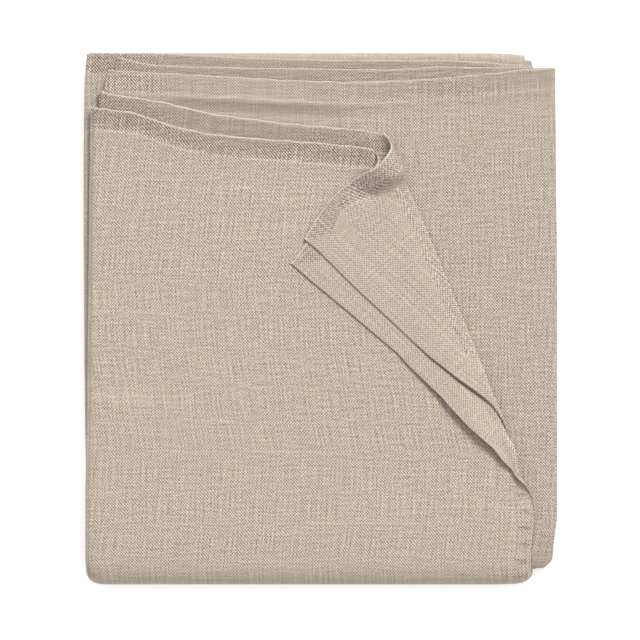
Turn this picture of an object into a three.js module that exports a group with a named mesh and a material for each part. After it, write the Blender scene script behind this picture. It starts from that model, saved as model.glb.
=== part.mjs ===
import * as THREE from 'three';

// A washed linen tablecloth, folded twice each way into a flat pack of sixteen layers.
// The top and second layers have their loose upper right corner turned over to the front.
// Sizes are millimetres. x runs across the pack, y towards its hemmed end, z up.

// Sheet
const SHEET_THICKNESS = 1.2;
const LAYER_PITCH = 1.6;
const HEM_WIDTH = 15;

// Pack
const STRIP_LAYERS = 4;
const PACK_LAYERS = 16;
const FRONT_LINE = -171.5;
const INNER_FRONT_LINE = -162;
const BACK_LINE = 181.5;
const LOOSE_SWELL = 0.05;

// Turned corner: the line it is turned over, and the curl along that line
const TURN_POINT = [47, 123.5];
const TURN_ANGLE = -68.2;
const CURL_RADIUS = 2.6;
const SETTLE_LENGTH = 26;

// Left creases and right edges, by distance from the front (0) to the hemmed end (1)
const LEFT_EDGE_TOP_STRIP = { along: [0, 0.3, 0.9, 1], x: [-161.6, -162.2, -160.8, -159.8] };
const LEFT_EDGE_LOWER_STRIPS = { along: [0, 0.3, 0.9, 1], x: [-161.4, -164.4, -163.6, -162.4] };
const FOLD_EDGE_TOP_STRIP = { along: [0, 0.2, 1], x: [161.6, 162.8, 163.4] };
const FOLD_EDGE_LOWER_STRIPS = { along: [0, 0.2, 0.8, 1], x: [160.6, 161.4, 154, 146.6] };
const LOOSE_EDGE = { along: [0, 1], top: [151.8, 160], second: [136.2, 147.4] };

// Hemmed ends of the four layers of the top strip, left to right, and of the strip below it
const TOP_HEM = { x: [-160, -128, -103, -80, -46, -6, 35, 161],
                  y: [148, 144, 135, 129.6, 126.2, 123.4, 119.2, 111.6] };
const SECOND_HEM = { x: [-154.4, -146, -109, -75, -23, 33, 144],
                     y: [160.2, 157.6, 152, 143.6, 136.6, 131.8, 117.2] };
const THIRD_HEM = { x: [-153.8, -148.6, -148, -123, -80, -23, 19.6, 62, 90.6, 119, 144, 163.4],
                    y: [158.8, 160.4, 174.2, 171.8, 169, 165.8, 165.2, 166.6, 168.4, 171, 174.2, 175.2] };
const FOURTH_HEM = { x: [-160, -154, -147.8, -142.6, -142, -117, -88, -52, 53, 77, 163.4],
                     y: [147, 148.4, 163, 168.6, 183.2, 176.8, 175.2, 174.2, 173.6, 176, 175.4] };
const LOWER_HEM = { x: [-162, -86, 91, 130, 160], y: [178.6, 181.4, 180.6, 177, 175.2] };

// Layers of a strip from its outer side in, and how the cloth runs through them:
// loose edge, top layer, left crease, fourth layer, right fold, third layer, left crease,
// second layer, loose edge.
const TOP = 0;
const SECOND = 1;
const THIRD = 2;
const FOURTH = 3;

const CURL_STEPS = 4;
const CREASE_STEPS = 4;

function mix(a, b, f) {
  return a + (b - a) * f;
}

function smooth(f) {
  const c = Math.min(1, Math.max(0, f));
  return c * c * (3 - 2 * c);
}

function lookup(at, values, q) {
  if (q <= at[0]) {
    return values[0];
  }
  for (let i = 1; i < at.length; i += 1) {
    if (q <= at[i]) {
      return mix(values[i - 1], values[i], (q - at[i - 1]) / (at[i] - at[i - 1]));
    }
  }
  return values[values.length - 1];
}

const HEM_TABLES = [TOP_HEM, SECOND_HEM, THIRD_HEM, FOURTH_HEM];
const turnDirection = [Math.cos(TURN_ANGLE * Math.PI / 180), Math.sin(TURN_ANGLE * Math.PI / 180)];
const turnNormal = [-turnDirection[1], turnDirection[0]];

function beyondTurn(x, y) {
  return (x - TURN_POINT[0]) * turnNormal[0] + (y - TURN_POINT[1]) * turnNormal[1];
}

function turnLineX(y) {
  return TURN_POINT[0] + (y - TURN_POINT[1]) * turnDirection[0] / turnDirection[1];
}

// Columns across the cloth. Each has its layer, a place across that layer and its angle round a
// crease or fold, so that a row of them is the section of one strip.
function makeColumns() {
  const columns = [];
  const looseSide = [['hem', 0], ['hem', 1], ['flap', 0.5], ['settle', 1], ['settle', 0.5]];
  for (let i = CURL_STEPS; i >= 0; i -= 1) {
    looseSide.push(['curl', i / CURL_STEPS]);
  }
  const plain = [0.72, 0.46, 0.22, 0];
  for (const [kind, f] of looseSide) {
    columns.push({ layer: TOP, kind, f });
  }
  for (const f of plain) {
    columns.push({ layer: TOP, kind: 'plain', f });
  }
  for (let i = 1; i < CREASE_STEPS; i += 1) {
    columns.push({ kind: 'outerCrease', f: i / CREASE_STEPS });
  }
  for (const f of [0, 1, 2, 3, 4, 5, 6, 7]) {
    columns.push({ layer: FOURTH, kind: 'across', f });
  }
  for (let i = 1; i < CREASE_STEPS; i += 1) {
    columns.push({ kind: 'rightFold', f: i / CREASE_STEPS });
  }
  for (const f of [8, 7, 6, 5, 4, 3, 2, 1, 0]) {
    columns.push({ layer: THIRD, kind: 'across', f });
  }
  for (let i = 1; i < CREASE_STEPS; i += 1) {
    columns.push({ kind: 'innerCrease', f: i / CREASE_STEPS });
  }
  for (const f of [...plain].reverse()) {
    columns.push({ layer: SECOND, kind: 'plain', f });
  }
  for (const [kind, f] of [...looseSide].reverse()) {
    columns.push({ layer: SECOND, kind, f });
  }
  return columns;
}

// Where the across columns of the third and fourth layers start at the hemmed end, and where
// they have spread to at the front, as shares of the layer's width after the first ones, which
// stand at the two steps of the hem beside the crease.
const ACROSS = {
  [THIRD]: { hem: [0, 0.0165, 0.0183, 0.12, 0.27, 0.46, 0.66, 0.86, 1], front: [0, 0.04, 0.1, 0.2, 0.34, 0.5, 0.68, 0.86, 1] },
  [FOURTH]: { hem: [0, 0.0185, 0.038, 0.0538, 0.0555, 0.3, 0.7, 1], front: [0, 0.05, 0.1, 0.16, 0.25, 0.45, 0.72, 1] },
};

// Rows along the cloth, from the hemmed end of the top strip round the front fold to the lowest
// strip, back round the fold at the far end, and round the inner front fold to the second strip.
function makeRows() {
  const rows = [];
  for (const f of [0, 0.045, 0.13, 0.24, 0.36, 0.48, 0.6, 0.72, 0.82, 0.91, 1]) {
    rows.push({ part: 'topStrip', f });
  }
  for (let i = 1; i < 7; i += 1) {
    rows.push({ part: 'frontFold', f: i / 7 });
  }
  for (const f of [0, 0.33, 0.67, 1]) {
    rows.push({ part: 'lowestStrip', f });
  }
  for (let i = 1; i < 4; i += 1) {
    rows.push({ part: 'farFold', f: i / 4 });
  }
  for (const f of [0, 0.33, 0.67, 1]) {
    rows.push({ part: 'thirdStrip', f });
  }
  for (let i = 1; i < 4; i += 1) {
    rows.push({ part: 'innerFold', f: i / 4 });
  }
  for (const f of [0, 0.3, 0.6, 0.85, 0.955, 1]) {
    rows.push({ part: 'secondStrip', f });
  }
  return rows;
}

const lowestMiddle = SHEET_THICKNESS / 2;
const topMiddle = lowestMiddle + (PACK_LAYERS - 1) * LAYER_PITCH;
const farFoldHeight = lowestMiddle + (STRIP_LAYERS - 0.5) * LAYER_PITCH;
const frontFoldHeight = (lowestMiddle + topMiddle) / 2;

function isTopStrip(row) {
  return row.part === 'topStrip';
}

// How far along the pack a row is, 0 at the front and 1 at the hemmed end, and how much of the
// top strip's outline it has (the rest is that of the strips below).
function alongOf(row) {
  switch (row.part) {
    case 'topStrip': return { along: 1 - row.f, top: 1 };
    case 'frontFold': return { along: 0, top: 1 - row.f };
    case 'lowestStrip': return { along: row.f, top: 0 };
    case 'farFold': return { along: 1, top: 0 };
    case 'thirdStrip': return { along: 1 - row.f, top: 0 };
    case 'innerFold': return { along: 0, top: 0 };
    default: return { along: row.f, top: 0 };
  }
}

function edges(row) {
  const { along, top } = alongOf(row);
  const upper = LEFT_EDGE_TOP_STRIP;
  const lower = LEFT_EDGE_LOWER_STRIPS;
  const foldUpper = FOLD_EDGE_TOP_STRIP;
  const foldLower = FOLD_EDGE_LOWER_STRIPS;
  return {
    left: mix(lookup(lower.along, lower.x, along), lookup(upper.along, upper.x, along), top),
    fold: mix(lookup(foldLower.along, foldLower.x, along), lookup(foldUpper.along, foldUpper.x, along), top),
    loose: [lookup(LOOSE_EDGE.along, LOOSE_EDGE.top, along), lookup(LOOSE_EDGE.along, LOOSE_EDGE.second, along)],
  };
}

// Left crease of a layer: the inner pair stands further in than the outer pair, most at the
// hemmed end of the top strip.
function layerLeft(layer, row, e) {
  const { along, top } = alongOf(row);
  const inner = layer === SECOND || layer === THIRD;
  const base = e.left + 1.5 * LAYER_PITCH;
  return inner ? base + LAYER_PITCH + top * 2.8 * smooth((along - 0.5) / 0.5) : base;
}

function hemY(layer, x, row) {
  if (isTopStrip(row)) {
    return lookup(HEM_TABLES[layer].x, HEM_TABLES[layer].y, x);
  }
  return lookup(LOWER_HEM.x, LOWER_HEM.y, x) - layer * 0.4;
}

// Place across the pack of a column of the two loose layers, on the cloth before it is turned.
function looseX(layer, column, row, e, hemAt) {
  const right = e.loose[layer];
  const left = layerLeft(layer, row, e);
  const radius = CURL_RADIUS + layer * LAYER_PITCH;
  const rise = 1 / turnNormal[0];
  const widest = Math.PI * radius + 2 * SETTLE_LENGTH + HEM_WIDTH;
  let turnX = right - 34;
  if (isTopStrip(row)) {
    let x = turnLineX(hemAt);
    for (let pass = 0; pass < 6; pass += 1) {
      x = turnLineX(rowY(layer, x, row));
    }
    turnX = Math.min(x, turnX);
  }
  const width = right - turnX;
  const scale = Math.min(1, width / (widest * rise));
  switch (column.kind) {
    case 'hem': return right - column.f * HEM_WIDTH * rise * scale;
    case 'curl': return turnX + column.f * Math.PI * radius * rise * scale;
    case 'settle': return turnX + (Math.PI * radius + column.f * SETTLE_LENGTH) * rise * scale;
    case 'flap': {
      const from = turnX + (Math.PI * radius + SETTLE_LENGTH) * rise * scale;
      return mix(from, right - HEM_WIDTH * rise * scale, column.f);
    }
    default: return mix(left, turnX, column.f);
  }
}

function rowY(layer, x, row) {
  const start = hemY(layer, x, row);
  if (row.part === 'topStrip') {
    return mix(start, FRONT_LINE, row.f);
  }
  return mix(INNER_FRONT_LINE, start, row.f);
}

// Point of the cloth for one column and row, moved off its middle by side (half a thickness).
function place(column, row, side) {
  const e = edges(row);
  const foldedBack = Math.PI * column.f;
  let layer = column.layer;
  let x = 0;
  let depth = 0;
  let atHem = 0;
  let turned = 0;
  if (column.kind === 'outerCrease') {
    const r = 1.5 * LAYER_PITCH + side;
    const base = layerLeft(TOP, row, e);
    x = base - r * Math.sin(foldedBack);
    depth = 1.5 * LAYER_PITCH - r * Math.cos(foldedBack);
    atHem = mix(hemY(TOP, base, row), hemY(FOURTH, base, row), column.f);
  } else if (column.kind === 'innerCrease') {
    const r = 0.5 * LAYER_PITCH - side;
    const base = layerLeft(SECOND, row, e);
    x = base - r * Math.sin(foldedBack);
    depth = 1.5 * LAYER_PITCH + r * Math.cos(foldedBack);
    atHem = mix(hemY(THIRD, base, row), hemY(SECOND, base, row), column.f);
  } else if (column.kind === 'rightFold') {
    const r = 0.5 * LAYER_PITCH + side;
    x = e.fold + r * Math.sin(foldedBack);
    depth = 2.5 * LAYER_PITCH + r * Math.cos(foldedBack);
    atHem = mix(hemY(FOURTH, e.fold, row), hemY(THIRD, e.fold, row), column.f);
  } else {
    if (column.kind === 'across') {
      const left = layerLeft(layer, row, e);
      const shares = ACROSS[layer];
      const { along, top } = alongOf(row);
      const share = mix(shares.front[column.f], shares.hem[column.f], along * top);
      x = mix(left, e.fold, share);
    } else {
      x = looseX(layer, column, row, e, hemY(layer, 100, row));
      turned = isTopStrip(row) ? Math.max(0, beyondTurn(x, rowY(layer, x, row))) : 0;
    }
    atHem = hemY(layer, x, row);
    const outward = layer === TOP || layer === THIRD ? -side : side;
    depth = layer * LAYER_PITCH + outward;
  }
  return { x, depth, atHem, turned, layer };
}

// The front folds stand back where the layers inside them end short at the right corner.
function frontSetBack(x, depth) {
  const inside = smooth((depth / LAYER_PITCH - 0.6) / 1.4);
  const corner = smooth((x - 128) / 28);
  return corner * mix(3, 8.5, inside);
}

function foldPoint(column, row, side) {
  const { x, depth, atHem, turned, layer } = place(column, row, side);
  const half = (STRIP_LAYERS - 0.5) * LAYER_PITCH;
  const setBack = frontSetBack(x, depth);
  const front = FRONT_LINE + setBack;
  const innerFront = INNER_FRONT_LINE + setBack * 0.8;
  const a = Math.PI * row.f;
  let y = 0;
  let z = 0;
  let px = x;
  if (row.part === 'topStrip') {
    y = mix(atHem, front, row.f);
    z = topMiddle - depth;
    if (turned > 0) {
      const middle = layer * LAYER_PITCH;
      const radius = CURL_RADIUS + middle;
      const round = Math.min(turned / radius, Math.PI);
      const back = Math.max(0, turned - Math.PI * radius);
      const off = CURL_RADIUS + depth;
      const shift = off * Math.sin(round) - back - turned;
      const settled = (2 * CURL_RADIUS - LAYER_PITCH) * smooth(back / SETTLE_LENGTH);
      px = x + shift * turnNormal[0];
      y += shift * turnNormal[1];
      z = topMiddle + CURL_RADIUS - off * Math.cos(round) - settled;
    }
  } else if (row.part === 'frontFold') {
    const r = frontFoldHeight - lowestMiddle - depth;
    y = front - r * Math.sin(a);
    z = frontFoldHeight + r * Math.cos(a);
  } else if (row.part === 'lowestStrip') {
    y = mix(front, BACK_LINE, row.f);
    z = lowestMiddle + depth;
  } else if (row.part === 'farFold') {
    const r = half - depth;
    y = BACK_LINE + r * Math.sin(a);
    z = farFoldHeight - r * Math.cos(a);
  } else if (row.part === 'thirdStrip') {
    y = mix(BACK_LINE, innerFront, row.f);
    z = farFoldHeight + half - depth;
  } else if (row.part === 'innerFold') {
    const r = 0.5 * LAYER_PITCH + depth;
    y = innerFront - r * Math.sin(a);
    z = frontFoldHeight - r * Math.cos(a);
  } else {
    y = mix(innerFront, atHem, row.f);
    z = frontFoldHeight + 0.5 * LAYER_PITCH + depth;
  }
  return loosen(px, y, z);
}

// The pack swells and sinks a little in soft waves that grow from its flat underside.
function loosen(x, y, z) {
  const wave = Math.sin(x / 58 + 0.6) * Math.cos(y / 66 - 0.4) + 0.5 * Math.sin(x / 90 - y / 75 + 1.9);
  return [x, y, z * (1 + LOOSE_SWELL * wave * 0.6)];
}

function makeCloth() {
  const columns = makeColumns();
  const rows = makeRows();
  const half = SHEET_THICKNESS / 2;
  const positions = [];
  for (const row of rows) {
    for (const column of columns) {
      for (const side of [half, -half]) {
        positions.push(...foldPoint(column, row, side));
      }
    }
  }
  const wide = columns.length;
  const indices = [];
  const at = (r, c, s) => (r * wide + c) * 2 + s;
  const quad = (p, q, u, v) => {
    indices.push(p, q, u, p, u, v);
  };
  for (let r = 0; r + 1 < rows.length; r += 1) {
    for (let c = 0; c + 1 < wide; c += 1) {
      quad(at(r, c, 0), at(r, c + 1, 0), at(r + 1, c + 1, 0), at(r + 1, c, 0));
      quad(at(r, c, 1), at(r + 1, c, 1), at(r + 1, c + 1, 1), at(r, c + 1, 1));
    }
    quad(at(r, 0, 0), at(r + 1, 0, 0), at(r + 1, 0, 1), at(r, 0, 1));
    quad(at(r, wide - 1, 0), at(r, wide - 1, 1), at(r + 1, wide - 1, 1), at(r + 1, wide - 1, 0));
  }
  const last = rows.length - 1;
  for (let c = 0; c + 1 < wide; c += 1) {
    quad(at(0, c, 0), at(0, c, 1), at(0, c + 1, 1), at(0, c + 1, 0));
    quad(at(last, c, 0), at(last, c + 1, 0), at(last, c + 1, 1), at(last, c, 1));
  }
  const geometry = new THREE.BufferGeometry();
  geometry.setAttribute('position', new THREE.Float32BufferAttribute(positions, 3));
  geometry.setIndex(indices);
  geometry.computeBoundingBox();
  const box = geometry.boundingBox;
  geometry.translate(-(box.min.x + box.max.x) / 2, -(box.min.y + box.max.y) / 2, -box.min.z);
  geometry.computeVertexNormals();
  return geometry;
}

const linen = new THREE.MeshStandardMaterial({ color: 0xc6b6a6, roughness: 0.95, metalness: 0 });
const cloth = new THREE.Mesh(makeCloth(), linen);
cloth.name = 'tablecloth';

const group = new THREE.Group();
group.name = 'folded_tablecloth';
group.add(cloth);

export default group;
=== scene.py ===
import math
import bpy
import numpy as np
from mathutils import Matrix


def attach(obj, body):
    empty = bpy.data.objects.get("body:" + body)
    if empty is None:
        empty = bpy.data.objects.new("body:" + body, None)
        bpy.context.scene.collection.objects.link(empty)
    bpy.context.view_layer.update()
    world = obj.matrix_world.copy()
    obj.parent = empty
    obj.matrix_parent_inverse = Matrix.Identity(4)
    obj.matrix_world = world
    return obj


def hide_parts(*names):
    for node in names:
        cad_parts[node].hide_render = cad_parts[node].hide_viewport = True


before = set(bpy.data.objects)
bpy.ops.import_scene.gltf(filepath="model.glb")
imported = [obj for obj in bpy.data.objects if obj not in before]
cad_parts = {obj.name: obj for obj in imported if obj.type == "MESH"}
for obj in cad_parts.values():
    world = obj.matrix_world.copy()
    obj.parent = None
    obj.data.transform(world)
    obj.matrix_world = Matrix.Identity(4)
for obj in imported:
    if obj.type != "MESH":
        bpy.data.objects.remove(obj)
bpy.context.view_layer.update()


# The tablecloth is one sheet of washed natural linen, 130 by 150 cm, woven plain and hemmed all
# round. It is folded in half twice each way, and the loose upper right corner of its two front
# layers is turned over to the front. Lengths are millimetres up to where the mesh is made.
SHEET_HALF = 0.52
HEM_HALF = 0.66
HEM_WIDTH = 15.0
LAYER_PITCH = 1.6
PACK_LAYERS = 16
CLOTH_WIDTH = 1296.0
STRIP_LENGTH = 345.0
FRONT_LINE = -171.5
INNER_FRONT_LINE = -162.0
BACK_LINE = 183.2

# Where the pack's edges lie, as (share of the way from front to back, x). The layers aren't stacked
# quite square, so the top strip and the strips below it each have their own.
left_edge_top = ([0, 0.15, 0.3, 0.6, 0.9, 1], [-161.0, -161.2, -160.4, -160.0, -159.4, -159.0])
left_edge_lower = ([0, 0.1, 0.31, 0.51, 0.72, 0.92, 1],
                   [-160.4, -160.8, -162.6, -163.4, -164.2, -164.1, -162.3])
fold_edge_top = ([0, 0.05, 0.2, 0.6, 1], [161.4, 163.6, 164.0, 164.6, 164.0])
fold_edge_lower = ([0, 0.2, 0.8, 1], [160.6, 161.4, 154, 148.4])
loose_edge = {0: ([0, 0.04, 0.08, 0.14, 0.17, 0.2, 0.27, 0.33, 0.4, 0.5, 0.65, 0.82, 1],
                  [146.8, 147.6, 148.9, 149.9, 150.4, 150.6, 151.6,
                   148.1, 145.5, 140.2, 137.2, 142.4, 148.5]),
              1: ([0.33, 0.4, 0.5, 0.6, 0.75, 0.88, 1],
                  [131.6, 128.4, 132.1, 133.3, 135.1, 137.4, 140.5])}
loose_edge_lower = {0: ([0, 0.6, 1], [149.2, 152.0, 144.6]), 1: ([0, 1], [136.2, 140.4])}

# The end hem of each top layer, front layer first, as (x, y). The layers step back one by one.
hem_line = {
    0: ([-160, -128, -103, -80, -46, -6, 35, 161],
        [148, 144, 135, 129.6, 126.2, 123.4, 119.2, 108.4]),
    1: ([-154.4, -146, -109, -75, -23, 33, 144],
        [160.2, 157.6, 152, 143.6, 136.6, 131.8, 115.6]),
    2: ([-153.8, -148.6, -148, -123, -80, -23, 19.6, 62, 90.6, 119, 144, 163.4],
        [159.4, 161, 175, 173.4, 171, 167.6, 166.2, 167.6, 169.6, 172.2, 175.2, 176]),
    3: ([-160, -154, -147.8, -142.6, -142, -117, -88, -52, 53, 77, 163.4],
        [147, 148.4, 163, 169.4, 184.4, 178.8, 177.4, 176.4, 175.4, 177.4, 176.6]),
}
lower_hem_line = ([-162, -120, -92, -60, 0, 91, 112, 130, 160],
                  [186.4, 186.4, 185.4, 183.2, 181.6, 181.2, 180.2, 178.4, 177.0])


def mix(a, b, f):
    return a + (b - a) * f


def smooth(f):
    f = np.clip(f, 0.0, 1.0)
    return f * f * (3 - 2 * f)


def lookup(table, q):
    return np.interp(q, table[0], table[1])


# The sheet is laid as columns that run from hem to hem and rows that cross them, closer together
# at the rims, the hems and the folds. Each column has its layer, its kind and how far it is across.
rim_steps = [0.0, 0.12, 0.4, 0.95, 2.4]
hem_steps = rim_steps + [5.2, 8.4, 11.4, 13.6, 15.0]
bend_steps = np.linspace(0, 1, 8)[1:-1]
plain_steps = list(np.linspace(0.985, 0.05, 50)) + [0.034, 0.02, 0.01, 0.0]
flap_steps = [0.98, 0.94] + list(np.linspace(0.86, 0, 15, endpoint=False))
settle_steps = np.linspace(1, 0, 9, endpoint=False)
curl_steps = np.linspace(1, 0, 13)
loose_side = [("hem", d / HEM_WIDTH) for d in hem_steps]
loose_side += [("flap", f) for f in flap_steps]
loose_side += [("settle", f) for f in settle_steps]
loose_side += [("curl", f) for f in curl_steps]
columns = [(0, kind, f) for kind, f in loose_side]
columns += [(0, "plain", f) for f in plain_steps]
columns += [(0, "outer_crease", f) for f in bend_steps]
columns += [(3, "across", f) for f in np.linspace(0, 1, 30)]
columns += [(3, "right_fold", f) for f in bend_steps]
columns += [(2, "across", f) for f in np.linspace(1, 0, 66)]
columns += [(2, "inner_crease", f) for f in bend_steps]
columns += [(1, "plain", f) for f in plain_steps[::-1]]
columns += [(1, kind, f) for kind, f in loose_side[::-1]]

EXACT_RUN = 22.0
rows = [("top", d / STRIP_LENGTH) for d in hem_steps + [16.4, 18.6]]
rows += [("top", f) for f in np.linspace(EXACT_RUN / STRIP_LENGTH, 1, 80)]
rows += [("front_fold", f) for f in np.linspace(0, 1, 14)[1:-1]]
rows += [("lowest", f) for f in np.linspace(0, 1, 6)]
rows += [("far_fold", f) for f in np.linspace(0, 1, 9)[1:-1]]
rows += [("third", f) for f in np.linspace(0, 1, 6)]
rows += [("inner_fold", f) for f in bend_steps]
rows += [("second", f) for f in np.linspace(0, 0.93, 8)]
rows += [("second", 1 - d / STRIP_LENGTH) for d in [15.0, 8.4] + rim_steps[::-1]]

row_kind = np.array([kind for kind, f in rows])
row_f = np.array([f for kind, f in rows])
is_top = row_kind == "top"
along = np.select([is_top, row_kind == "lowest", row_kind == "far_fold",
                   row_kind == "third", row_kind == "second"],
                  [1 - row_f, row_f, 1.0 + 0 * row_f, 1 - row_f, row_f], 0.0)
of_top = np.select([is_top, row_kind == "front_fold"], [1.0 + 0 * row_f, 1 - row_f], 0.0)
left_edge = mix(lookup(left_edge_lower, along), lookup(left_edge_top, along), of_top)
fold_edge = mix(lookup(fold_edge_lower, along), lookup(fold_edge_top, along), of_top)

# Start and length of each strip and fold along the open cloth.
strip_run = {"top": (0, 345), "front_fold": (345, 39), "lowest": (384, 345), "far_fold": (729, 17),
             "third": (746, 345), "inner_fold": (1091, 13), "second": (1104, 345)}
flat_t = np.array([strip_run[kind][0] + strip_run[kind][1] * f for kind, f in rows])


def crease_x(layer):
    base = left_edge + 1.5 * LAYER_PITCH
    if layer in (1, 2):
        return base + LAYER_PITCH + of_top * 2.8 * smooth((along - 0.5) / 0.5)
    return base


def hem_y(layer, x):
    small_wave = 0.3 * np.sin(x / 2.9 + layer) * np.sin(x / 17 + 2 * layer)
    on_top = lookup(hem_line[layer], x) + small_wave
    below = lookup(lower_hem_line, x) + layer * 0.3
    return np.where(is_top, on_top, below)


def from_hem(start, end, f):
    """Distance from the hem, exact over the first stretch and evenly shared out beyond it."""
    measured = f * STRIP_LENGTH
    near = np.minimum(measured, EXACT_RUN)
    return near + (measured - near) / (STRIP_LENGTH - EXACT_RUN) * (np.abs(start - end) - EXACT_RUN)


def row_y(layer, x):
    start = hem_y(layer, x)
    return np.where(is_top, start - from_hem(start, FRONT_LINE, row_f),
                    start - from_hem(start, INNER_FRONT_LINE, 1 - row_f))


# The loose corner is turned over about a straight line. Tables about it are read by how far down
# that line a point is, from the turned hem at the far end to where the turned part runs out.
TURN_POINT = (47.0, 123.5)
TURN_ANGLE = math.radians(-68.2)
TURN_CLEAR = 24.0
CURL_RADIUS = 2.6
SETTLE_LENGTH = 26.0
turn_along = np.array([math.cos(TURN_ANGLE), math.sin(TURN_ANGLE)])
turn_across = np.array([-turn_along[1], turn_along[0]])
curl_lead = {0: ([-25, 0, 10, 22, 38, 50, 150, 230], [12.5, 12.5, 11.0, 8.0, 5.0, 4.5, 4.5, 0.0]),
             1: ([-25, 0, 10, 22, 38, 50], [7.2, 7.2, 6.2, 4.2, 0.8, 0.0])}


def along_turn(x, y):
    return (x - TURN_POINT[0]) * turn_along[0] + (y - TURN_POINT[1]) * turn_along[1]


def beyond_turn(x, y):
    return (x - TURN_POINT[0]) * turn_across[0] + (y - TURN_POINT[1]) * turn_across[1]


def turn_line_x(y):
    return TURN_POINT[0] + (y - TURN_POINT[1]) * turn_along[0] / turn_along[1]


def loose_right(layer):
    return mix(lookup(loose_edge_lower[layer], along), lookup(loose_edge[layer], along), of_top)


def loose_x(layer, kind, f):
    """Where a column of a loose front layer lies before the corner is turned over."""
    right = loose_right(layer)
    slant = 1 / turn_across[0]
    x = turn_line_x(hem_y(layer, np.full(len(rows), 100.0)))
    for step in range(8):
        at_y = row_y(layer, x)
        x = turn_line_x(at_y)
        x = x - lookup(curl_lead[layer], along_turn(x, at_y)) / turn_across[0]
    turn_x = np.where(is_top, np.minimum(x, right - TURN_CLEAR), right - TURN_CLEAR)
    round_curl = math.pi * (CURL_RADIUS + layer * LAYER_PITCH)
    curl = round_curl * slant
    full_width = (round_curl + 2 * SETTLE_LENGTH + HEM_WIDTH) * slant
    scale = np.minimum(1.0, (right - turn_x) / full_width)
    if kind == "hem":
        return right - f * HEM_WIDTH * slant * scale
    if kind == "flap":
        settled = turn_x + (curl + SETTLE_LENGTH * slant) * scale
        return mix(settled, right - HEM_WIDTH * slant * scale, f)
    if kind == "settle":
        return turn_x + (curl + f * SETTLE_LENGTH * slant) * scale
    if kind == "curl":
        return turn_x + f * curl * scale
    return mix(crease_x(layer), turn_x, f)


# Columns are drawn together beside the steps in the hem lines of the third and fourth layers.
third_hem_steps = ([0, 0.04, 0.1, 0.2, 0.34, 0.5, 0.68, 0.86, 1],
                   [0, 0.0165, 0.0183, 0.12, 0.27, 0.46, 0.66, 0.86, 1])
fourth_hem_steps = ([0, 0.05, 0.1, 0.16, 0.25, 0.45, 0.72, 1],
                    [0, 0.0185, 0.038, 0.0538, 0.0555, 0.3, 0.7, 1])


def across_x(layer, f):
    steps = third_hem_steps if layer == 2 else fourth_hem_steps
    share = mix(f, lookup(steps, f), along * of_top)
    return mix(crease_x(layer), fold_edge, share)


def cloth_column(layer, kind, f, side):
    """One column of the sheet, from the hem of the top strip to that of the strip below it."""
    fold_angle = math.pi * f
    turned = np.zeros(len(rows))
    crease = crease_x(layer)
    if kind == "outer_crease":
        r = 1.5 * LAYER_PITCH + side
        x = crease - r * math.sin(fold_angle)
        depth = 1.5 * LAYER_PITCH - r * math.cos(fold_angle)
        at_hem = mix(hem_y(0, crease), hem_y(3, crease), f)
    elif kind == "inner_crease":
        r = 0.5 * LAYER_PITCH - side
        x = crease - r * math.sin(fold_angle)
        depth = 1.5 * LAYER_PITCH + r * math.cos(fold_angle)
        at_hem = mix(hem_y(2, crease), hem_y(1, crease), f)
    elif kind == "right_fold":
        r = 0.5 * LAYER_PITCH + side
        x = fold_edge + r * math.sin(fold_angle)
        depth = 2.5 * LAYER_PITCH + r * math.cos(fold_angle)
        at_hem = mix(hem_y(3, fold_edge), hem_y(2, fold_edge), f)
    else:
        if kind == "across":
            x = across_x(layer, f)
        else:
            x = loose_x(layer, kind, f)
            at_y = row_y(layer, x)
            lead = lookup(curl_lead[layer], along_turn(x, at_y))
            turned = np.where(is_top, np.maximum(0, beyond_turn(x, at_y) + lead), 0)
        at_hem = np.where(is_top, hem_y(layer, x[0] + 0 * x), hem_y(layer, x[-1] + 0 * x))
        outward = -side if layer in (0, 2) else side
        depth = layer * LAYER_PITCH + outward
    depth = depth + np.zeros(len(rows))
    return x, depth, at_hem, turned


# The corners of the front fold are rounded, more so on the layers inside it. Tables are (x, how far
# the fold is drawn back).
corner_back = ([126, 136, 141, 144, 146, 147.5, 149], [0, 0.5, 1.3, 2.6, 4.2, 6.2, 8.5])
corner_back_inside = ([118, 132, 146, 156, 160, 163], [0, 5.0, 7.6, 8.2, 11.0, 16.0])
corner_back_left = ([-162, -160.5, -158, -155, -150], [7.0, 5.0, 2.4, 0.9, 0])
low_middle = 0.6
half_pack = 3.5 * LAYER_PITCH
top_middle = low_middle + (PACK_LAYERS - 1) * LAYER_PITCH
far_height = low_middle + half_pack
front_height = (low_middle + top_middle) / 2


def front_set_back(x, depth):
    inside = smooth((depth / LAYER_PITCH - 0.6) / 1.4)
    right = mix(lookup(corner_back, x), lookup(corner_back_inside, x), inside)
    return right + lookup(corner_back_left, x)


def fold_end_to_end(x, depth, at_hem):
    """The folds that cross the cloth: four strips and the three bends between them."""
    set_back = front_set_back(x, depth)
    front = FRONT_LINE + set_back
    inner = INNER_FRONT_LINE + set_back * 0.8
    back = BACK_LINE - 2.4 * smooth((x - 118) / 40)
    bend = math.pi * row_f
    front_r = front_height - low_middle - depth
    far_r = half_pack - depth
    inner_r = 0.5 * LAYER_PITCH + depth
    kinds = [row_kind == kind for kind in ("top", "front_fold", "lowest", "far_fold", "third", "inner_fold")]
    y = np.select(kinds, [at_hem - from_hem(at_hem, front, row_f), front - front_r * np.sin(bend),
                          mix(front, back, row_f), back + far_r * np.sin(bend),
                          mix(back, inner, row_f), inner - inner_r * np.sin(bend)],
                  at_hem - from_hem(at_hem, inner, 1 - row_f))
    z = np.select(kinds, [top_middle - depth, front_height + front_r * np.cos(bend),
                          low_middle + depth, far_height - far_r * np.cos(bend),
                          far_height + half_pack - depth, front_height - inner_r * np.cos(bend)],
                  front_height + 0.5 * LAYER_PITCH + depth)
    return y, z, front


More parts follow.
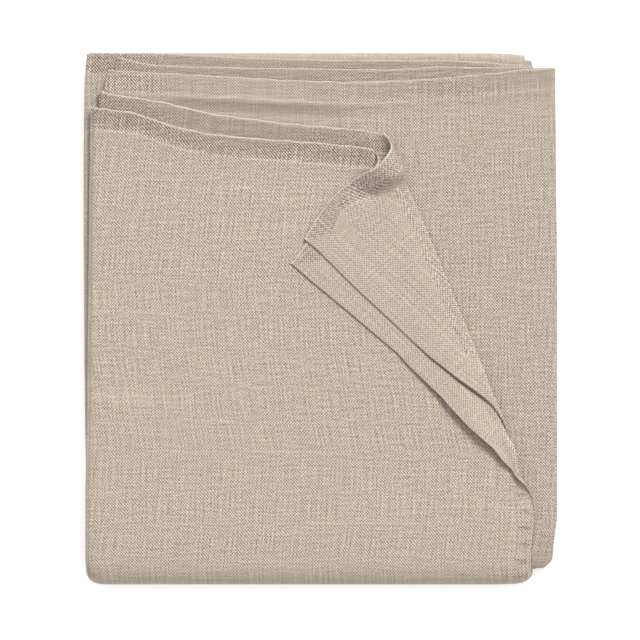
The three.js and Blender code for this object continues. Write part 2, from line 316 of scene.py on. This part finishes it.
# How the turned part curls, settles and lies, for the front layer and the one behind it.
curl_radius = {0: ([-25, 10, 19, 26, 33, 40, 190, 225, 262, 290],
                   [5.6, 5.6, 4.9, 2.6, 1.0, 0.7, 0.7, 1.2, 2.0, 3.0]),
               1: ([-25, 8, 19, 26, 33, 40, 150, 185, 225, 262],
                   [9.6, 9.6, 8.4, 4.6, 1.8, 1.1, 1.1, 2.3, 2.9, 4.0])}
curl_flat = ([-25, 8, 20, 36], [0.74, 0.74, 0.8, 1.0])
settle_run = ([-25, 19, 33, 60], [24, 24, 12, 8])
lie_over = {0: ([0, 6], [1.3, 1.3]), 1: ([0, 3, 9, 16], [1.9, 2.1, 3.4, 4.1])}
edge_lift = ([0, 138, 165, 186, 215, 250, 275], [0.0, 0.1, 0.8, 3.0, 5.0, 4.4, 2.0])


def turn_over(layer, turned, down, depth):
    """Sideways shift and height of the turned part, rolled about the turn line and laid back."""
    outward = depth - layer * LAYER_PITCH
    radius = lookup(curl_radius[layer], down)
    height = lookup(curl_flat, down) * radius
    round_by = np.minimum(turned / radius, math.pi)
    back = np.maximum(0, turned - math.pi * radius)
    shift = np.where(turned > 0, (radius + outward) * np.sin(round_by) - back - turned, 0)
    lift = lookup(edge_lift, down) * smooth(back / 18)
    rest = lookup(lie_over[layer], back) + lift
    if layer == 1:
        rest = mix(rest, 4.6 + lift, smooth((down - 150) / 32))
    lying = mix(2 * height, rest, smooth(back / lookup(settle_run, down)))
    over = top_middle - layer * LAYER_PITCH - outward * np.cos(round_by)
    over = over + np.where(back > 0, lying, height * (1 - np.cos(round_by)))
    return shift, over


# The turned hem's own path seen from above, as (distance from the corner, x, y).
HEM_PATH_FADE = 62.0
turned_hem = {
    0: ([0, 14, 33, 51, 66, 76, 86, 95, 101, 106, 111, 116],
        [-19.5, -11.2, -0.7, 9.8, 18.8, 25.8, 33.5, 38.8, 41.2, 40.6, 38.0, 34.8],
        [38.3, 49.5, 64.1, 78.1, 88.5, 94.8, 100.4, 105.2, 110.2, 114.4, 117.6, 119.2]),
    1: ([0, 15, 21.5, 30, 41, 48.5, 58, 64, 69, 75, 81, 85, 89.5, 96],
        [-10.5, -2.1, 2.1, 7.7, 16.7, 23.0, 32.1, 38.3, 42.5, 46.7, 49.5, 50.2, 48.8, 43.9],
        [55.1, 69.7, 75.3, 82.9, 91.3, 96.5, 101.8, 104.5, 108.0, 112.9, 117.8, 121.3, 125.5, 129.0]),
}


def follow_hem_path(layer, kind, f, x, y, z):
    from_corner = loose_right(layer)[0] - loose_x(layer, kind, f)[0]
    distance, path_x, path_y = turned_hem[layer]
    ease = smooth((distance[-1] - from_corner) / 8)
    fade = smooth(1 - row_f * STRIP_LENGTH / HEM_PATH_FADE) * is_top * ease
    leaning = (z[0] - 25) * 0.087
    x = x + fade * (np.interp(from_corner, distance, path_x) - x[0])
    y = y + fade * (np.interp(from_corner, distance, path_y) - y[0] - leaning)
    return x, y


# Low relief: the ridge each hem makes in its layer, as (distance from the hem, height), the dimple
# in the turned corner, and the wave in the loose right edge where the turned part runs out.
hem_raise = {0: ([0, 4, 9, 12, 15.5, 18, 24], [2.2, 1.6, 0.5, 0.3, 1.1, 0.8, 0]),
             1: ([0, 4, 8, 11, 15], [1.8, 1.3, 0.6, 0.2, 0]),
             2: ([0, 4, 10, 14, 17, 20, 24, 34], [0.5, 0.8, 1.4, 2.4, 2.4, 0.6, 0, 0]),
             3: ([0, 5, 8], [0.3, 0.1, 0])}
edge_wave = ([-138, -131, -124.5, -119, -114, -107, -99, -88.5, -83, -76, -66, -52],
             [0, -0.8, -3.0, -5.0, -4.8, -3.9, -1.7, 1.6, 2.8, 3.0, 1.4, 0])
dimple_path = np.array([(19.0, 91.5), (23.5, 93.0), (36.0, 85.5), (57.0, 91.5)])
DIMPLE_WIDTH = 3.2
DIMPLE_DEPTH = 2.2
SLOW_WAVE = 0.03


def hem_ridge(layer, x, distance):
    raised = lookup(hem_raise[layer], distance) * is_top
    if layer == 2:
        raised = raised * (0.3 + 0.7 * smooth((x + 115) / 30) - 0.5 * smooth((x - 50) / 50))
    return raised * (0.85 + 0.3 * np.sin(x / 31 + 1.3 * layer))


def dimple(x, y):
    nearest = np.full(np.shape(x), 1e9)
    for start, end in zip(dimple_path[:-1], dimple_path[1:]):
        run = end - start
        f = np.clip(((x - start[0]) * run[0] + (y - start[1]) * run[1]) / (run @ run), 0, 1)
        nearest = np.minimum(nearest, np.hypot(x - start[0] - f * run[0], y - start[1] - f * run[1]))
    return np.exp(-(nearest / DIMPLE_WIDTH) ** 2)


def pressed_front(x, y):
    """How much the pack is pressed down towards the front fold and its right corner."""
    right_corner = smooth((x - 142) / 20) * smooth((-146 - y) / 28)
    return 0.095 * smooth((-138 - y) / 48) ** 1.5 + 0.3 * right_corner


def place_column(layer, kind, f, side):
    x, depth, at_hem, turned = cloth_column(layer, kind, f, side)
    y, z, front = fold_end_to_end(x, depth, at_hem)
    lying_flat = np.where(turned > 0, 0.0, 1.0)
    z = z + hem_ridge(layer, x, from_hem(at_hem, front, row_f)) * lying_flat
    shift = 0
    if layer < 2:
        shift, over = turn_over(layer, turned, along_turn(x, y), depth)
        z = np.where(turned > 0, over, z)
    z = z * (1 - pressed_front(x, y))
    x = x + shift * turn_across[0]
    y = y + shift * turn_across[1]
    if layer < 2 and kind in ("hem", "flap", "settle", "curl"):
        x, y = follow_hem_path(layer, kind, f, x, y, z)
    if layer < 2:
        z = z - DIMPLE_DEPTH * smooth(turned / 6) * dimple(x, y)
        x = x + is_top * lookup(edge_wave, y) * smooth((x - 131) / 10)
    wave = np.sin(x / 58 + 0.6) * np.cos(y / 66 - 0.4) + 0.5 * np.sin(x / 90 - y / 75 + 1.9)
    z = z * (1 + SLOW_WAVE * wave)
    return np.stack([x, y, z], axis=1)


def flat_s(layer, kind, f, x):
    """Where a column lies across the open cloth, row by row."""
    if kind == "outer_crease":
        return np.full(len(rows), 322 + 7 * f)
    if kind == "right_fold":
        return np.full(len(rows), 650 + 2.5 * f)
    if kind == "inner_crease":
        return np.full(len(rows), 972 + 2.5 * f)
    if layer == 0:
        return loose_right(0) - x
    if layer == 3:
        return 329 + (x - crease_x(3))
    if layer == 2:
        return 652.5 + (fold_edge - x)
    return CLOTH_WIDTH - (loose_right(1) - x)


# Where each point lies on the open cloth, for the weave and for the hems, and which points belong
# to the underside that the turned corner shows.
FAR_FROM_END = 500.0
grid = (len(rows), len(columns))
s_map = np.zeros(grid)
t_map = np.repeat(flat_t[:, None], len(columns), axis=1)
from_end = np.full(grid, FAR_FROM_END)
turned_map = np.zeros(grid + (2,))
for c, (layer, kind, f) in enumerate(columns):
    x, depth, at_hem, turned = cloth_column(layer, kind, f, 0.0)
    s_map[:, c] = flat_s(layer, kind, f, x)
    set_back = front_set_back(x, depth)
    y = at_hem - from_hem(at_hem, FRONT_LINE + set_back, row_f)
    t_map[:, c] = np.where(is_top, STRIP_LENGTH + FRONT_LINE - y, t_map[:, c])
    t_map[:, c] += np.where(row_kind == "front_fold", -set_back * (1 - row_f), 0)
    from_top_hem = from_hem(at_hem, FRONT_LINE, row_f)
    from_lower_hem = from_hem(at_hem, INNER_FRONT_LINE, 1 - row_f)
    from_end[:, c] = np.select([is_top, row_kind == "second"], [from_top_hem, from_lower_hem], FAR_FROM_END)
    turned_map[:, c, 1 - layer % 2] = smooth(turned / 12)

# A side hem's position along its rim has 10 m added, which tells it from an end hem.
SIDE_HEM_MARK = 10000
from_side = np.minimum(s_map, CLOTH_WIDTH - s_map)
from_edge = np.maximum(0, np.minimum(from_side, from_end))
along_edge = np.where(from_side < from_end, t_map + SIDE_HEM_MARK, s_map)
half_map = mix(HEM_HALF, SHEET_HALF, smooth((from_edge - 14.6) / 2.4))
half_map = half_map * (1 - 0.28 * np.exp(-((from_edge - 14.0) / 0.9) ** 2))
half_map = half_map * np.interp(from_edge, rim_steps, [0.28, 0.62, 0.9, 1.0, 1.0])

points = np.zeros(grid + (2, 3))
for c, (layer, kind, f) in enumerate(columns):
    points[:, c, 0] = place_column(layer, kind, f, half_map[:, c])
    points[:, c, 1] = place_column(layer, kind, f, -half_map[:, c])
span = points.reshape(-1, 3)
middle = (span.max(axis=0) + span.min(axis=0)) / 2
points[..., 0] -= middle[0]
points[..., 1] -= middle[1]
points[..., 2] -= span[:, 2].min()

last_row = len(rows) - 1
last_column = len(columns) - 1


def faces_of(corners):
    """Faces through four corners, each given as its row, its column and its side of the sheet."""
    return np.stack([(r * len(columns) + c) * 2 + side for r, c, side in corners], axis=1)


r, c = np.meshgrid(np.arange(last_row), np.arange(last_column), indexing="ij")
r = r.ravel()
c = c.ravel()
faces = [faces_of([(r, c, 0), (r, c + 1, 0), (r + 1, c + 1, 0), (r + 1, c, 0)]),
         faces_of([(r, c, 1), (r + 1, c, 1), (r + 1, c + 1, 1), (r, c + 1, 1)])]
r = np.arange(last_row)
e = last_column
faces += [faces_of([(r, 0, 0), (r + 1, 0, 0), (r + 1, 0, 1), (r, 0, 1)]),
          faces_of([(r, e, 0), (r, e, 1), (r + 1, e, 1), (r + 1, e, 0)])]
c = np.arange(last_column)
e = last_row
faces += [faces_of([(0, c, 0), (0, c, 1), (0, c + 1, 1), (0, c + 1, 0)]),
          faces_of([(e, c, 0), (e, c + 1, 0), (e, c + 1, 1), (e, c, 1)])]
faces = np.concatenate(faces)
corner_points = faces.reshape(-1)

MM = 0.001
cloth_mesh = bpy.data.meshes.new("tablecloth_linen")
cloth_mesh.vertices.add(points.size // 3)
cloth_mesh.vertices.foreach_set("co", (points.reshape(-1) * MM).astype(np.float32))
cloth_mesh.loops.add(faces.size)
cloth_mesh.loops.foreach_set("vertex_index", corner_points.astype(np.int32))
cloth_mesh.polygons.add(len(faces))
cloth_mesh.polygons.foreach_set("loop_start", (np.arange(len(faces)) * 4).astype(np.int32))
cloth_mesh.polygons.foreach_set("use_smooth", np.ones(len(faces), dtype=bool))
cloth_mesh.update(calc_edges=True)
for name, across, lengthways in (("flat_cloth", s_map, t_map), ("from_hem", from_edge, along_edge)):
    laid_out = np.stack([across, lengthways], axis=2).reshape(-1, 2) * MM
    uv_map = cloth_mesh.uv_layers.new(name=name)
    uv_map.data.foreach_set("uv", laid_out[corner_points // 2].reshape(-1).astype(np.float32))
turned_over = cloth_mesh.attributes.new("turned_over", "FLOAT", "POINT")
turned_over.data.foreach_set("value", turned_map.reshape(-1).astype(np.float32))
cloth = bpy.data.objects.new("tablecloth_linen", cloth_mesh)
bpy.context.scene.collection.objects.link(cloth)


class Weave:
    """Short hand for laying a material's nodes."""

    def __init__(self, name):
        self.material = bpy.data.materials.new(name)
        self.material.use_nodes = True
        self.tree = self.material.node_tree
        self.tree.nodes.clear()

    def node(self, kind, **settings):
        made = self.tree.nodes.new(kind)
        for key, value in settings.items():
            setattr(made, key, value)
        return made

    def put(self, socket, value):
        if isinstance(value, bpy.types.NodeSocket):
            self.tree.links.new(value, socket)
        else:
            socket.default_value = value

    def sum_of(self, operation, a, b=0.0, c=0.0):
        made = self.node("ShaderNodeMath", operation=operation)
        for socket, value in zip(made.inputs, (a, b, c)):
            self.put(socket, value)
        return made.outputs[0]

    def times(self, a, b):
        return self.sum_of("MULTIPLY", a, b)

    def plus(self, a, b):
        return self.sum_of("ADD", a, b)

    def scaled(self, a, by, and_add):
        return self.sum_of("MULTIPLY_ADD", a, by, and_add)

    def all_of(self, first, shares):
        for part, share in shares:
            first = self.plus(first, self.times(part, share))
        return first

    def place(self, x, y, z=0.0):
        made = self.node("ShaderNodeCombineXYZ")
        for socket, value in zip(made.inputs, (x, y, z)):
            self.put(socket, value)
        return made.outputs[0]

    def laid_out(self, name):
        made = self.node("ShaderNodeSeparateXYZ")
        self.put(made.inputs[0], self.node("ShaderNodeUVMap", uv_map=name).outputs["UV"])
        return made.outputs[0], made.outputs[1]

    def noise(self, at, scale, detail):
        made = self.node("ShaderNodeTexNoise", noise_dimensions="3D")
        self.put(made.inputs["Vector"], at)
        made.inputs["Scale"].default_value = scale
        made.inputs["Detail"].default_value = detail
        made.inputs["Roughness"].default_value = 0.5
        return made.outputs["Fac"]

    def ramp(self, value, low, high, to_low=0.0, to_high=1.0):
        made = self.node("ShaderNodeMapRange", clamp=True, interpolation_type="SMOOTHSTEP")
        for socket, v in zip(made.inputs, (value, low, high, to_low, to_high)):
            self.put(socket, v)
        return made.outputs[0]

    def band(self, value, rise, full, fall, gone):
        return self.times(self.ramp(value, rise, full), self.ramp(value, fall, gone, 1.0, 0.0))

    def blend(self, factor, a, b):
        made = self.node("ShaderNodeMix", data_type="RGBA")
        self.put(made.inputs[0], factor)
        self.put(made.inputs[6], a)
        self.put(made.inputs[7], b)
        return made.outputs[2]


# The linen: about 10 warp and 9 weft threads to the centimetre, of uneven, slubby yarn. It is laid
# on the open cloth in metres, s across it and t along it, so the weave turns at every fold.
WARP_PITCH = 0.0010
WEFT_PITCH = 0.0011
WANDER = 0.0011
WANDER_SCALE = 160.0
YARN_SCALE = 0.9
YARN_BESIDE = 1.4
SLUB_SCALE = 0.42
lay = Weave("washed_linen")
s, t = lay.laid_out("flat_cloth")
wander_s = lay.plus(lay.times(lay.noise(lay.place(s, t), WANDER_SCALE, 1.0), WANDER), -WANDER / 2)
wander_t = lay.plus(lay.times(lay.noise(lay.place(t, s, 0.7), WANDER_SCALE, 1.0), WANDER), -WANDER / 2)
warp = lay.times(lay.plus(s, wander_s), 1 / WARP_PITCH)
weft = lay.times(lay.plus(t, wander_t), 1 / WEFT_PITCH)
rising = lay.sum_of("COSINE", lay.times(lay.plus(warp, weft), math.pi))
falling = lay.sum_of("COSINE", lay.times(lay.sum_of("SUBTRACT", warp, weft), math.pi))
over_under = lay.plus(lay.times(rising, 0.6), lay.times(falling, 0.4))
grain = lay.plus(lay.noise(lay.place(warp, weft, 31.0), 1.0, 0.0), -0.5)


def uneven_yarn(here, beside):
    """Lighter and darker yarns, each set off from the one beside it."""
    own = lay.plus(lay.noise(here, YARN_SCALE, 0.0), -0.2)
    return lay.scaled(lay.noise(beside, YARN_SCALE, 0.0), -0.6, own)


def slub(at):
    return lay.ramp(lay.noise(at, SLUB_SCALE, 0.0), 0.68, 0.8)


along_warp = lay.times(weft, 0.05)
along_weft = lay.times(warp, 0.08)
warp_yarn = uneven_yarn(lay.place(warp, along_warp), lay.place(lay.plus(warp, YARN_BESIDE), along_warp))
weft_yarn = uneven_yarn(lay.place(along_weft, weft, 3.0),
                        lay.place(along_weft, lay.plus(weft, YARN_BESIDE), 3.0))
slubs = lay.plus(slub(lay.place(warp, lay.times(weft, 0.04), 7.0)),
                 slub(lay.place(lay.times(warp, 0.04), weft, 11.0)))
cloudy = lay.plus(lay.noise(lay.place(s, t, 0.3), 60.0, 3.0), -0.5)
warmth = lay.noise(lay.place(warp, weft, 21.0), 0.55, 1.0)

# Hems, seams and creases. The side hems are told from the end hems by the mark on their position.
# A panel is one quarter of the width, between two of the lengthways creases.
STITCH_LENGTH = 0.00185
from_rim, along_rim = lay.laid_out("from_hem")
on_end = lay.ramp(along_rim, 4.0, 6.0, 1.0, 0.0)
on_side = lay.sum_of("SUBTRACT", 1.0, on_end)
in_hem = lay.ramp(from_rim, 0.0144, 0.0154, 1.0, 0.0)
end_hem = lay.times(in_hem, on_end)
seam = lay.band(from_rim, 0.0132, 0.0148, 0.0156, 0.0172)
stitches = lay.sum_of("SINE", lay.times(along_rim, 2 * math.pi / STITCH_LENGTH))


def away_from(place):
    return lay.sum_of("ABSOLUTE", lay.plus(s, -place))


front_panels = lay.ramp(away_from(0.6485), 0.3225, 0.3235)
fourth_panel = lay.ramp(away_from(0.4895), 0.159, 0.161, 1.0, 0.0)
# Painted shade: the third layer is painted slightly darker towards the pack's right edge.
painted_shade_right_panel = lay.band(s, 0.65, 0.652, 0.69, 0.83)
left_crease = away_from(0.3255)
inner_crease = away_from(0.97325)
# A pale line along the creases, part wear and part painted highlight.
crease = lay.ramp(lay.sum_of("MINIMUM", left_crease, inner_crease), 0.0042, 0.006, 1.0, 0.0)
# Painted shade: a band beside the left crease is painted darker, where the pack's left edge lies in shade.
painted_shade_beside_crease = lay.ramp(left_crease, 0.006, 0.03, 1.0, 0.0)
# A pale line along each hem rim, part wear and part painted highlight, stronger on the end hems.
rim_wear_highlight = lay.ramp(from_rim, 0.0006, 0.0017, 1.0, 0.0)
rim_wear_highlight = lay.times(rim_wear_highlight, lay.scaled(on_end, 0.75, 0.25))
rim_wear_highlight = lay.times(rim_wear_highlight, lay.scaled(grain, 1.6, 0.9))
rim_wear_highlight = lay.times(rim_wear_highlight, lay.scaled(front_panels, 0.45, 0.5))
# Painted shadow: a dark line on the rims of the side hems stands in for the shadow in the gap under the
# turned edges. It is strongest where the edge is lifted and below it.
shadow_under_lift = lay.band(t, 0.15, 0.19, 0.222, 0.236)
shadow_below_lift = lay.band(t, 0.245, 0.262, 0.35, 0.37)
painted_rim_shadow = lay.times(lay.ramp(from_rim, 0.00035, 0.0009, 1.0, 0.0), on_side)
painted_rim_shadow = lay.times(painted_rim_shadow, lay.plus(lay.times(shadow_under_lift, 0.65), lay.scaled(shadow_below_lift, 0.5, 0.22)))

# The side hem is drawn into small puckers near the front, as bumps with painted shade in their dents. The
# third layer is painted darker in a band behind the ridge of its end hem, as the shade of a shallow hollow
# there.
PUCKER_PITCH = 0.0115
PUCKER_CENTRE = 0.3077
pucker_at = lay.plus(t, lay.plus(lay.times(wander_s, 1.5), -PUCKER_CENTRE))
pucker_and_shade = lay.sum_of("COSINE", lay.times(pucker_at, 2 * math.pi / PUCKER_PITCH))
pucker_and_shade = lay.times(lay.ramp(pucker_and_shade, 0.5, 1.0), lay.band(t, 0.265, 0.3, 0.35, 0.36))
pucker_and_shade = lay.times(pucker_and_shade, lay.band(from_rim, 0.002, 0.005, 0.009, 0.0125))
pucker_and_shade = lay.times(pucker_and_shade, on_side)
painted_hollow_shade = lay.times(lay.band(from_rim, 0.0165, 0.0185, 0.0215, 0.027), on_end)
painted_hollow_shade = lay.times(painted_hollow_shade, lay.band(s, 0.76, 0.83, 0.915, 0.94))
# Painted shade: the cloth is painted a little darker over the front fold.
painted_shade_front_band = lay.band(t, 0.32, 0.352, 0.4, 0.5)

# Light and dark in the cloth, then its colour. Besides the weave, the tone holds painted shade on the end
# hems, beside the left crease, on the right of the third layer, over the front fold, in the hollow behind
# the third hem and in the puckers. The underside of the turned corner shows less weave.
LINEN_DARK = (0.095, 0.072, 0.056, 1)
LINEN_WARM = (0.65, 0.54, 0.435, 1)
LINEN_COOL = (0.625, 0.55, 0.47, 1)
# The pale colour of worn rims and creases, which also carries their painted highlight.
LINEN_WORN_HIGHLIGHT = (0.50, 0.455, 0.405, 1)
RIM_SHADE = (0.06, 0.045, 0.035, 1)
face = lay.node("ShaderNodeAttribute", attribute_name="turned_over").outputs["Fac"]
weave_shown = lay.ramp(face, 0.0, 1.0, 1.0, 0.68)
tone = lay.all_of(lay.times(over_under, 0.58), [(warp_yarn, 0.47), (weft_yarn, 0.34), (grain, 1.12),
                                                (slubs, 0.08), (cloudy, 0.02)])
tone = lay.times(tone, lay.scaled(end_hem, 0.3, 1.0))
# Painted shade: the end hems are painted darker, most on the front and fourth panels.
painted_hem_shade = lay.plus(lay.plus(lay.times(front_panels, -0.08), lay.times(fourth_panel, -0.08)), -0.14)
tone = lay.plus(tone, lay.times(end_hem, painted_hem_shade))
tone = lay.all_of(tone, [(painted_shade_right_panel, -0.055), (painted_shade_front_band, -0.01), (painted_shade_beside_crease, -0.06),
                         (painted_hollow_shade, -0.2), (pucker_and_shade, -0.22), (seam, lay.scaled(stitches, 0.08, 0.12))])
light = lay.scaled(lay.times(tone, weave_shown), 0.55, 0.393)
flax = lay.blend(lay.ramp(warmth, 0.3, 0.7), LINEN_WARM, LINEN_COOL)
colour = lay.blend(light, LINEN_DARK, flax)
# Pale wear with a painted highlight on the hem rims and creases, then the painted shadow along the side
# rims.
wear_and_highlight = lay.sum_of("MAXIMUM", lay.times(rim_wear_highlight, 0.62), lay.times(crease, 0.12))
colour = lay.blend(wear_and_highlight, colour, LINEN_WORN_HIGHLIGHT)
colour = lay.blend(painted_rim_shadow, colour, RIM_SHADE)
height = lay.all_of(lay.times(over_under, 0.5), [(warp_yarn, 0.62), (weft_yarn, 0.6), (slubs, 0.7),
                                                 (pucker_and_shade, -3.0), (seam, lay.scaled(stitches, 0.45, 0.6))])
bump = lay.node("ShaderNodeBump")
bump.inputs["Strength"].default_value = 0.8
bump.inputs["Distance"].default_value = 0.00016
lay.put(bump.inputs["Height"], lay.times(height, weave_shown))
linen = lay.node("ShaderNodeBsdfPrincipled")
lay.put(linen.inputs["Base Color"], colour)
linen.inputs["Roughness"].default_value = 0.92
linen.inputs["Specular IOR Level"].default_value = 0.2
linen.inputs["Sheen Weight"].default_value = 0.12
linen.inputs["Sheen Roughness"].default_value = 0.5
lay.put(linen.inputs["Normal"], bump.outputs[0])
linen_out = lay.node("ShaderNodeOutputMaterial")
lay.put(linen_out.inputs[0], linen.outputs[0])
cloth_mesh.materials.append(lay.material)

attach(cloth, "root")
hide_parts("tablecloth")


# The floor is a plain white studio sweep of matt paper, lit softly enough to leave only a faint
# shadow round the pack. It is part of the studio and not of the object.
FLOOR_HALF = 3
floor_corners = [(-FLOOR_HALF, -FLOOR_HALF, 0), (FLOOR_HALF, -FLOOR_HALF, 0),
                 (FLOOR_HALF, FLOOR_HALF, 0), (-FLOOR_HALF, FLOOR_HALF, 0)]
floor_mesh = bpy.data.meshes.new("floor")
floor_mesh.from_pydata(floor_corners, [], [(0, 1, 2, 3)])
floor = bpy.data.objects.new("floor", floor_mesh)
bpy.context.scene.collection.objects.link(floor)
sweep = Weave("white_paper")
paper = sweep.node("ShaderNodeBsdfPrincipled")
paper.inputs["Base Color"].default_value = (0.96, 0.96, 0.96, 1)
paper.inputs["Roughness"].default_value = 0.9
paper.inputs["Specular IOR Level"].default_value = 0.1
paper.inputs["Emission Color"].default_value = (1, 1, 1, 1)
paper.inputs["Emission Strength"].default_value = 0.3
paper_out = sweep.node("ShaderNodeOutputMaterial")
sweep.put(paper_out.inputs[0], paper.outputs[0])
floor_mesh.materials.append(sweep.material)


# The studio light is one large soft panel high up behind and to the right, in an even white room.
# It stands far off, so that its light doesn't fall away across the cloth.
key = bpy.data.lights.new("key_panel", "AREA")
key.shape = "RECTANGLE"
key.size = 5.0
key.size_y = 4.0
key.energy = 2000.0
key_panel = bpy.data.objects.new("key_panel", key)
key_panel.location = (4.4, 7.4, 9.4)
key_panel.rotation_euler = key_panel.location.copy().to_track_quat("Z", "Y").to_euler()
bpy.context.scene.collection.objects.link(key_panel)
room = bpy.data.worlds.new("white_room")
room.use_nodes = True
room.node_tree.nodes["Background"].inputs["Color"].default_value = (1, 1, 1, 1)
room.node_tree.nodes["Background"].inputs["Strength"].default_value = 0.94
bpy.context.scene.world = room
bpy.context.scene.view_settings.view_transform = "Standard"


# The camera looks almost straight down from the side of the folded front, as in the photograph,
# with a long lens that keeps the pack's edges close to square.
ELEVATION = math.radians(85.0)
REACH = 2.6
eye = bpy.data.cameras.new("eye")
eye.sensor_width = 36.0
eye.lens = 210.7
eye.clip_end = 20.0
camera = bpy.data.objects.new("eye", eye)
bpy.context.scene.collection.objects.link(camera)
aim_at = (0.0007 - middle[0] * MM, -0.001 - middle[1] * MM, 0.025)
camera.location = (aim_at[0], aim_at[1] - REACH * math.cos(ELEVATION),
                   aim_at[2] + REACH * math.sin(ELEVATION))
camera.rotation_euler = (math.radians(90) - ELEVATION, 0, 0)
bpy.context.scene.camera = camera
